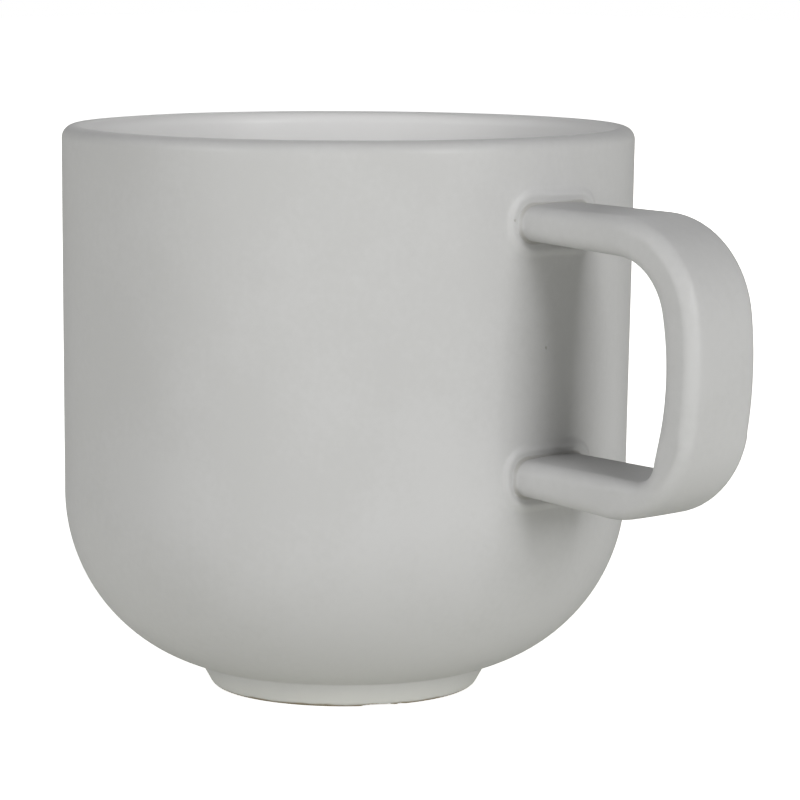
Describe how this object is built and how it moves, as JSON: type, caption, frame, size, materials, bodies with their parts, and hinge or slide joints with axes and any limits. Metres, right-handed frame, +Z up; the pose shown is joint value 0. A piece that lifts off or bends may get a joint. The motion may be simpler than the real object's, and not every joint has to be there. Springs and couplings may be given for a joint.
{
  "type": "ceramic coffee cup",
  "caption": "Stoneware coffee cup with near-straight sides, a round shoulder, a small foot ring and a square-shouldered strap handle.",
  "frame": {"origin": "centre of the foot ring, on the plane that the cup stands on", "axes": "+Z up along the axis of the turned body, +X out through the middle of the handle"},
  "size_m": [0.1206, 0.088, 0.087],
  "materials": {
    "glaze": "satin, warm light grey"
  },
  "bodies": {
    "root": {"cup": "glaze"}
  },
  "joints": []
}
